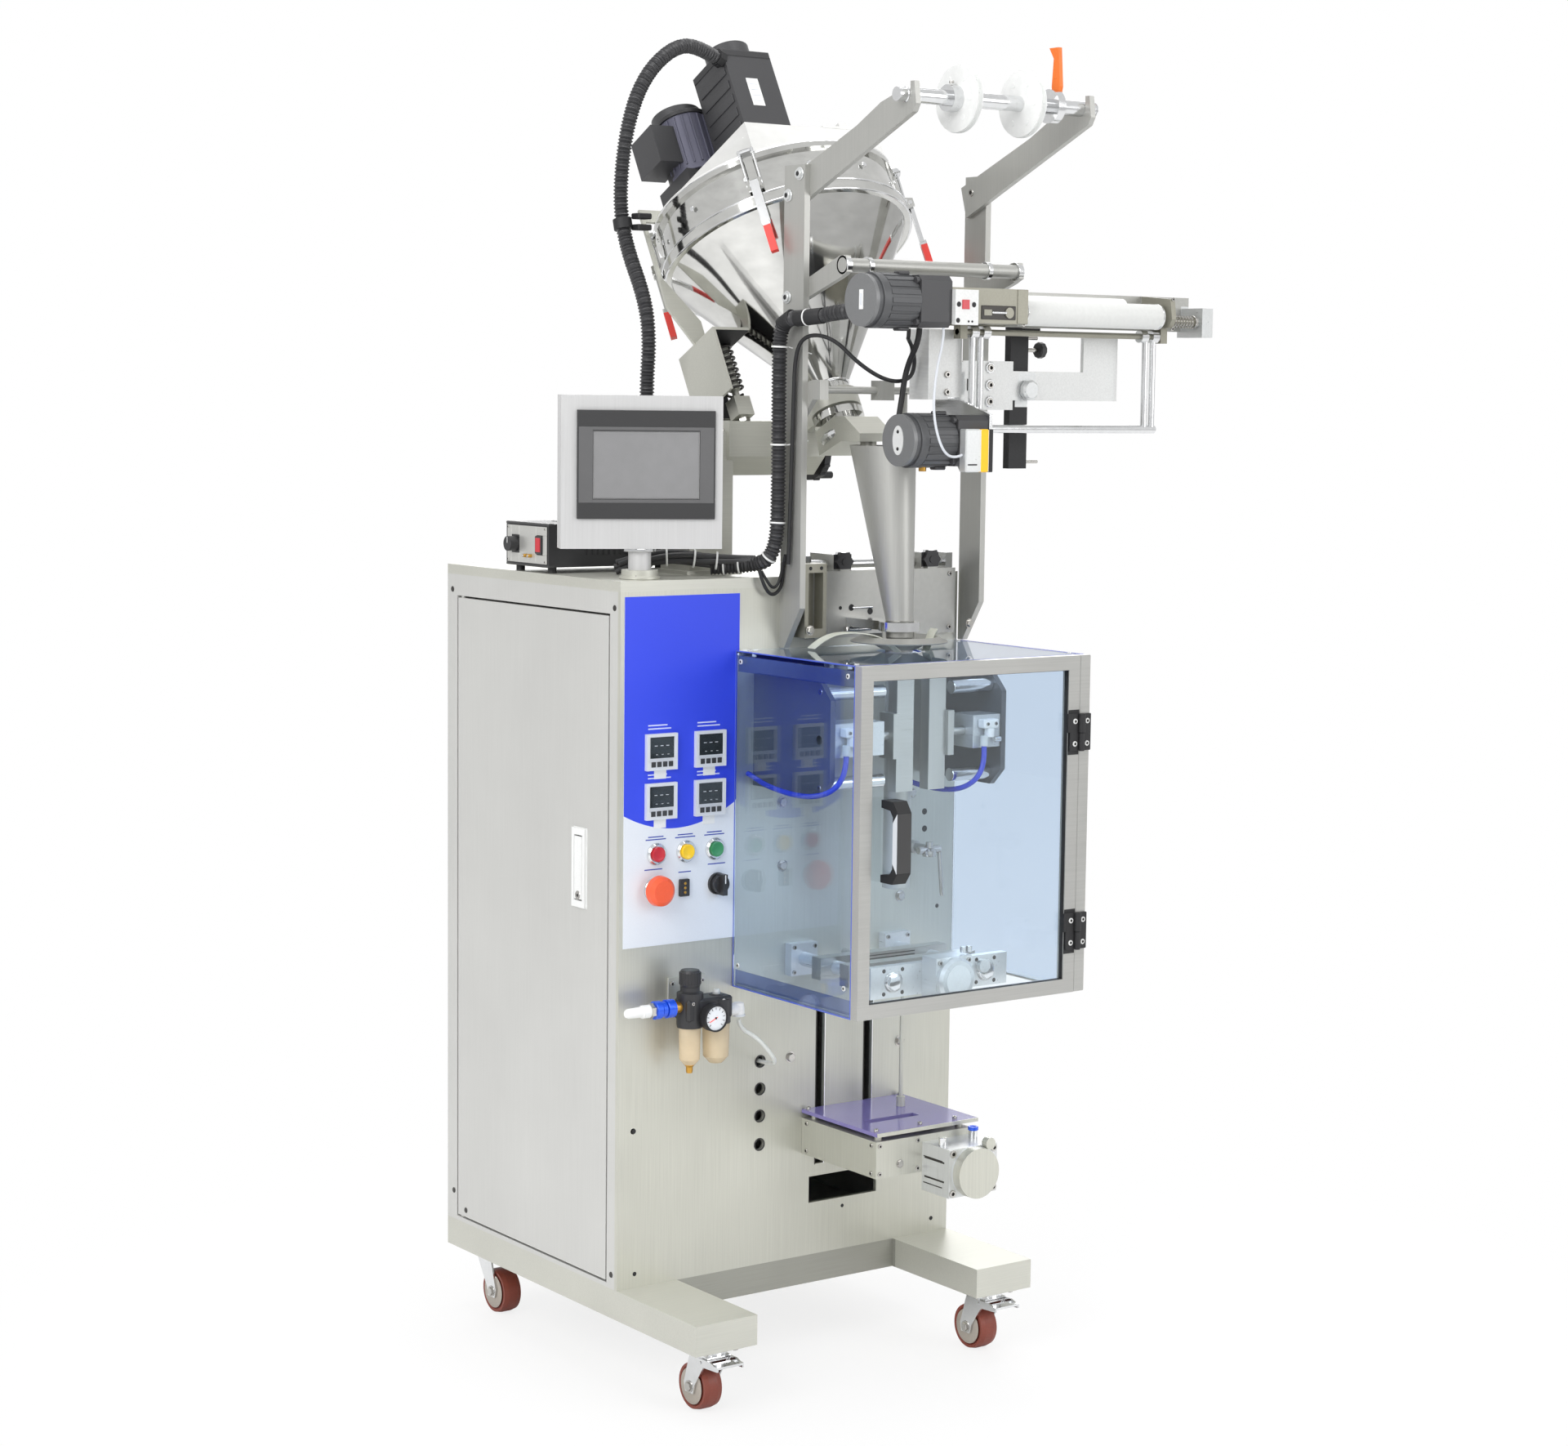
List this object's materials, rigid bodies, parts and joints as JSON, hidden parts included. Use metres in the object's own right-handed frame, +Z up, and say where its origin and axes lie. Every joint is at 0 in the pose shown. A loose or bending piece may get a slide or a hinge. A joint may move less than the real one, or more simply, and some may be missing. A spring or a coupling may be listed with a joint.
{
  "type": "vertical_form_fill_seal_machine",
  "caption": "Sachet packing machine with a leaning auger hopper, film reel arms, forming tube, guarded seal jaws and cutter on castors",
  "frame": {"origin": "on the floor under the middle of the bounding box", "axes": "+X to the operator's right, +Y from the operator to the back of the machine, +Z up"},
  "size_m": [0.8902, 0.757, 1.8065],
  "materials": {
    "white_paint": "satin",
    "light_paint": "satin",
    "blue_sheet": "matte",
    "steel": "brushed",
    "polished_steel": "polished",
    "aluminium": "milled",
    "olive_metal": "satin",
    "motor_grey": "semi-matte",
    "black_plastic": "matte",
    "white_plastic": "matte",
    "red_plastic": "gloss",
    "yellow_plastic": "gloss",
    "green_plastic": "gloss",
    "orange_plastic": "gloss",
    "violet_plate": "satin",
    "clear_acrylic": "clear",
    "rubber": "matte"
  },
  "bodies": {
    "machine": {"base_frame": "light_paint", "cabinet_shell": "white_paint", "top_plate": "light_paint", "front_plate": "light_paint", "control_panel": "blue_sheet", "feeder_controller": "aluminium", "reel_posts": "light_paint", "hopper_stand": "white_paint", "hopper_bowl": "polished_steel", "hopper_lid": "white_paint", "hopper_motors": "motor_grey", "forming_tube": "polished_steel", "tube_carriage": "steel", "film_frame": "olive_metal", "film_motors": "motor_grey", "guard_panels": "clear_acrylic", "seal_frame": "aluminium", "air_unit": "steel", "hoses": "rubber"},
    "side_door": {"cabinet_door": "white_paint"},
    "lock_lever": {"door_lever": "black_plastic"},
    "red_push": {"red_button": "red_plastic"},
    "yellow_push": {"yellow_button": "yellow_plastic"},
    "green_push": {"green_button": "green_plastic"},
    "stop_push": {"emergency_stop": "red_plastic"},
    "switch": {"selector_switch": "black_plastic"},
    "screen": {"screen_unit": "steel"},
    "dial": {"controller_knob": "black_plastic"},
    "reel": {"film_reel_shaft": "steel"},
    "reel_lever": {"reel_clamp_lever": "orange_plastic"},
    "height_wheel": {"handwheel": "black_plastic"},
    "hatch": {"lid_hatch": "white_paint"},
    "latch_front_left": {"latch_lever_front_left": "red_plastic"},
    "latch_rear_left": {"latch_lever_rear_left": "red_plastic"},
    "latch_front_right": {"latch_lever_front_right": "red_plastic"},
    "latch_rear_right": {"latch_lever_rear_right": "red_plastic"},
    "auger": {"auger_screw": "polished_steel"},
    "mixer": {"agitator": "polished_steel"},
    "film_roller": {"drive_roller": "steel"},
    "press_roller": {"pinch_roller": "polished_steel"},
    "dancer": {"dancer_arm": "polished_steel"},
    "front_door": {"guard_door": "steel", "guard_window": "clear_acrylic"},
    "left_side_jaw": {"vertical_jaw_left": "steel"},
    "right_side_jaw": {"vertical_jaw_right": "steel"},
    "front_seal_jaw": {"front_jaw": "steel"},
    "rear_seal_jaw": {"rear_jaw": "steel"},
    "cutter": {"cutter_box": "aluminium"},
    "blade": {"cutter_blade": "steel"},
    "air_knob": {"regulator_knob": "black_plastic"},
    "fork_left_front": {"castor_fork_left_front": "polished_steel"},
    "wheel_left_front": {"castor_wheel_left_front": "rubber"},
    "fork_left_rear": {"castor_fork_left_rear": "polished_steel"},
    "wheel_left_rear": {"castor_wheel_left_rear": "rubber"},
    "pedal_left": {"brake_pedal_left": "polished_steel"},
    "fork_right_front": {"castor_fork_right_front": "polished_steel"},
    "wheel_right_front": {"castor_wheel_right_front": "rubber"},
    "fork_right_rear": {"castor_fork_right_rear": "polished_steel"},
    "wheel_right_rear": {"castor_wheel_right_rear": "rubber"},
    "pedal_right": {"brake_pedal_right": "polished_steel"}
  },
  "joints": [
    {"name": "side_door_hinge", "type": "hinge", "parent": "machine", "child": "side_door", "pos_m": [-0.3909, 0.3425, 0.582], "axis": [0, 0, -1], "range_deg": [0, 105]},
    {"name": "lock_lever_hinge", "type": "hinge", "parent": "side_door", "child": "lock_lever", "pos_m": [-0.3991, 0.0235, 0.722], "axis": [0, 1, 0], "range_deg": [0, 60]},
    {"name": "red_button_press", "type": "slide", "parent": "machine", "child": "red_push", "axis": [0, 1, 0], "range_m": [0, 0.003], "stiffness_N_per_m": 700},
    {"name": "yellow_button_press", "type": "slide", "parent": "machine", "child": "yellow_push", "axis": [0, 1, 0], "range_m": [0, 0.003], "stiffness_N_per_m": 700},
    {"name": "green_button_press", "type": "slide", "parent": "machine", "child": "green_push", "axis": [0, 1, 0], "range_m": [0, 0.003], "stiffness_N_per_m": 700},
    {"name": "emergency_stop_press", "type": "slide", "parent": "machine", "child": "stop_push", "axis": [0, 1, 0], "range_m": [0, 0.005]},
    {"name": "selector_turn", "type": "hinge", "parent": "machine", "child": "switch", "pos_m": [-0.2429, -0.0815, 0.664], "axis": [0, 1, 0], "range_deg": [-45, 45]},
    {"name": "screen_swivel", "type": "hinge", "parent": "machine", "child": "screen", "pos_m": [-0.3409, -0.0295, 1.2], "axis": [0, 0, 1], "range_deg": [-45, 70]},
    {"name": "feeder_dial_turn", "type": "hinge", "parent": "machine", "child": "dial", "pos_m": [-0.4019, 0.1962, 1.107], "axis": [-1, 0, 0], "range_deg": [0, 300]},
    {"name": "reel_turn", "type": "hinge", "parent": "machine", "child": "reel", "pos_m": [0.0181, -0.3155, 1.688], "axis": [1, 0, 0], "continuous": true},
    {"name": "reel_lever_hinge", "type": "hinge", "parent": "reel", "child": "reel_lever", "pos_m": [0.1151, -0.3155, 1.706], "axis": [1, 0, 0], "range_deg": [0, 80]},
    {"name": "handwheel_turn", "type": "hinge", "parent": "machine", "child": "height_wheel", "pos_m": [0.0021, 0.0555, 1.23], "axis": [1, 0, 0], "continuous": true},
    {"name": "hatch_hinge", "type": "hinge", "parent": "machine", "child": "hatch", "pos_m": [0.0331, 0.09345, 1.64569], "axis": [-1, 0, 0], "range_deg": [0, 95]},
    {"name": "latch_front_left_hinge", "type": "hinge", "parent": "machine", "child": "latch_front_left", "pos_m": [-0.1563, -0.02068, 1.58932], "axis": [-0.7071, 0.6214, -0.3374], "range_deg": [0, 85]},
    {"name": "latch_rear_left_hinge", "type": "hinge", "parent": "machine", "child": "latch_rear_left", "pos_m": [-0.1768, 0.18529, 1.47749], "axis": [0.5736, 0.7199, -0.3909], "range_deg": [0, 85]},
    {"name": "latch_front_right_hinge", "type": "hinge", "parent": "machine", "child": "latch_front_right", "pos_m": [0.12658, 0.00545, 1.57513], "axis": [-0.5446, -0.737, 0.4002], "range_deg": [0, 85]},
    {"name": "latch_rear_right_hinge", "type": "hinge", "parent": "machine", "child": "latch_rear_right", "pos_m": [0.11731, 0.19206, 1.47382], "axis": [0.6157, -0.6925, 0.376], "range_deg": [0, 85]},
    {"name": "auger_turn", "type": "hinge", "parent": "machine", "child": "auger", "pos_m": [-0.0269, 0.05964, 1.46606], "axis": [0, 0.4772, 0.8788], "continuous": true},
    {"name": "agitator_turn", "type": "hinge", "parent": "machine", "child": "mixer", "pos_m": [-0.0729, 0.15732, 1.46992], "axis": [0, 0.4772, 0.8788], "continuous": true},
    {"name": "film_roller_turn", "type": "hinge", "parent": "machine", "child": "film_roller", "pos_m": [0.2231, -0.2715, 1.423], "axis": [1, 0, 0], "continuous": true},
    {"name": "pressing_roller_turn", "type": "hinge", "parent": "machine", "child": "press_roller", "pos_m": [0.2231, -0.2445, 1.435], "axis": [1, 0, 0], "continuous": true},
    {"name": "dancer_swing", "type": "hinge", "parent": "machine", "child": "dancer", "pos_m": [0.2231, -0.2365, 1.397], "axis": [-1, 0, 0], "range_deg": [-8, 40]},
    {"name": "guard_door_hinge", "type": "hinge", "parent": "machine", "child": "front_door", "pos_m": [0.1476, -0.3548, 0.748], "axis": [0, 0, 1], "range_deg": [0, 110]},
    {"name": "left_jaw_close", "type": "slide", "parent": "machine", "child": "left_side_jaw", "axis": [1, 0, 0], "range_m": [0, 0.012]},
    {"name": "right_jaw_close", "type": "slide", "parent": "machine", "child": "right_side_jaw", "axis": [-1, 0, 0], "range_m": [0, 0.012]},
    {"name": "front_jaw_close", "type": "slide", "parent": "machine", "child": "front_seal_jaw", "axis": [0, 1, 0], "range_m": [0, 0.02]},
    {"name": "rear_jaw_close", "type": "slide", "parent": "machine", "child": "rear_seal_jaw", "axis": [0, -1, 0], "range_m": [0, 0.02]},
    {"name": "cutter_height", "type": "slide", "parent": "machine", "child": "cutter", "axis": [0, 0, 1], "range_m": [-0.02, 0.155]},
    {"name": "blade_cut", "type": "slide", "parent": "cutter", "child": "blade", "axis": [0, 1, 0], "range_m": [0, 0.022]},
    {"name": "regulator_turn", "type": "hinge", "parent": "machine", "child": "air_knob", "pos_m": [-0.3109, -0.1115, 0.549], "axis": [0, 0, 1], "range_deg": [-170, 170]},
    {"name": "fork_left_front_swivel", "type": "hinge", "parent": "machine", "child": "fork_left_front", "pos_m": [-0.3489, -0.2215, 0.084], "axis": [0, 0, 1], "continuous": true},
    {"name": "wheel_left_front_turn", "type": "hinge", "parent": "fork_left_front", "child": "wheel_left_front", "pos_m": [-0.3489, -0.1995, 0.0315], "axis": [1, 0, 0], "continuous": true},
    {"name": "fork_left_rear_swivel", "type": "hinge", "parent": "machine", "child": "fork_left_rear", "pos_m": [-0.3489, 0.3285, 0.084], "axis": [0, 0, 1], "continuous": true},
    {"name": "wheel_left_rear_turn", "type": "hinge", "parent": "fork_left_rear", "child": "wheel_left_rear", "pos_m": [-0.3489, 0.3065, 0.0315], "axis": [1, 0, 0], "continuous": true},
    {"name": "pedal_left_press", "type": "hinge", "parent": "fork_left_front", "child": "pedal_left", "pos_m": [-0.3489, -0.2295, 0.0717], "axis": [1, 0, 0], "range_deg": [0, 12]},
    {"name": "fork_right_front_swivel", "type": "hinge", "parent": "machine", "child": "fork_right_front", "pos_m": [0.1131, -0.2215, 0.084], "axis": [0, 0, 1], "continuous": true},
    {"name": "wheel_right_front_turn", "type": "hinge", "parent": "fork_right_front", "child": "wheel_right_front", "pos_m": [0.1131, -0.1995, 0.0315], "axis": [1, 0, 0], "continuous": true},
    {"name": "fork_right_rear_swivel", "type": "hinge", "parent": "machine", "child": "fork_right_rear", "pos_m": [0.1131, 0.3285, 0.084], "axis": [0, 0, 1], "continuous": true},
    {"name": "wheel_right_rear_turn", "type": "hinge", "parent": "fork_right_rear", "child": "wheel_right_rear", "pos_m": [0.1131, 0.3065, 0.0315], "axis": [1, 0, 0], "continuous": true},
    {"name": "pedal_right_press", "type": "hinge", "parent": "fork_right_front", "child": "pedal_right", "pos_m": [0.1131, -0.2295, 0.0717], "axis": [1, 0, 0], "range_deg": [0, 12]}
  ],
  "couplings": [
    {"joint": "pressing_roller_turn", "follows": "film_roller_turn", "ratio": -1.4167},
    {"joint": "right_jaw_close", "follows": "left_jaw_close", "ratio": 1},
    {"joint": "rear_jaw_close", "follows": "front_jaw_close", "ratio": 1}
  ]
}
